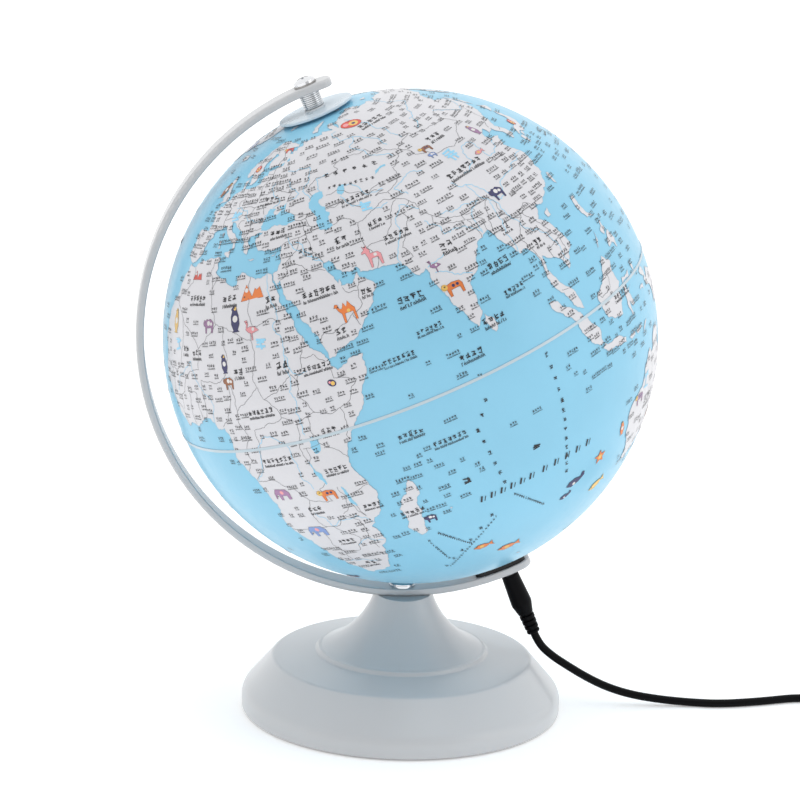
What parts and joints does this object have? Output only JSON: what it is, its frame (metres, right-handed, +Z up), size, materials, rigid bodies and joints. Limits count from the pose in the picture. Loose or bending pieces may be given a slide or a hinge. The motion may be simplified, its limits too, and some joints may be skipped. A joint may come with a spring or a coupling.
{
  "type": "desktop globe on stand",
  "caption": "Desktop globe with a lamp inside, tilted in a grey C-shaped arm on a round bell-shaped base, with a low-voltage cord.",
  "frame": {"origin": "centre of the foam pad's underside, on the surface the base stands on", "axes": "+Z up; the C-shaped arm lies in the XZ plane, open towards +X, with the south pole and the cord's socket on the +X side and the north pole on the -X side; +Y is away from the side of the print that shows the ocean east of Africa at rest"},
  "size_m": [0.4301, 0.2553, 0.3304],
  "materials": {
    "stand_plastic": "satin",
    "globe_plastic": "satin",
    "equator_tape": "satin",
    "white_plastic": "matte",
    "frosted_plastic": "frosted",
    "black_plastic": "matte",
    "cord_pvc": "satin",
    "tie_rubber": "matte",
    "foam_pad": "matte",
    "weight_iron": "rough",
    "chromed_steel": "polished",
    "zinc_steel": "satin",
    "plug_steel": "satin",
    "led_board": "matte",
    "led_lens": "gloss",
    "wire_insulation": "satin"
  },
  "bodies": {
    "stand": {"base_shell": "stand_plastic", "bottom_plate": "black_plastic", "plate_screws": "zinc_steel", "base_weight": "weight_iron", "foot_pad": "foam_pad", "meridian_arm": "stand_plastic", "arm_bolt": "chromed_steel", "arm_bolt_washer": "chromed_steel", "arm_bolt_nut_washer": "zinc_steel", "arm_bolt_nut": "zinc_steel", "north_spacer": "white_plastic", "north_bolt_washer": "chromed_steel", "north_bolt": "chromed_steel", "north_thrust_washer": "zinc_steel", "north_lock_nut": "zinc_steel", "lamp_bracket": "black_plastic", "lamp_post": "black_plastic", "led_board": "led_board", "leds": "led_lens", "lamp_diffuser": "frosted_plastic", "dc_jack": "black_plastic", "dc_jack_nut": "zinc_steel", "lamp_leads": "wire_insulation", "dc_plug_barrel": "chromed_steel", "dc_plug_grip": "cord_pvc", "cord_run": "cord_pvc", "cord_coil": "cord_pvc", "cord_tie": "tie_rubber", "cord_tail": "cord_pvc", "usb_plug_grip": "cord_pvc", "usb_plug_shell": "plug_steel", "usb_plug_tongue": "white_plastic"},
    "globe": {"globe_north_shell": "globe_plastic", "globe_south_shell": "globe_plastic", "globe_joint_ring": "white_plastic", "equator_tape": "equator_tape", "south_collar": "white_plastic", "north_disc": "frosted_plastic", "north_bush": "white_plastic"}
  },
  "joints": [
    {"name": "globe_spin", "type": "hinge", "parent": "stand", "child": "globe", "pos_m": [0, 0, 0.198], "axis": [-0.3987, 0, 0.9171], "continuous": true}
  ]
}
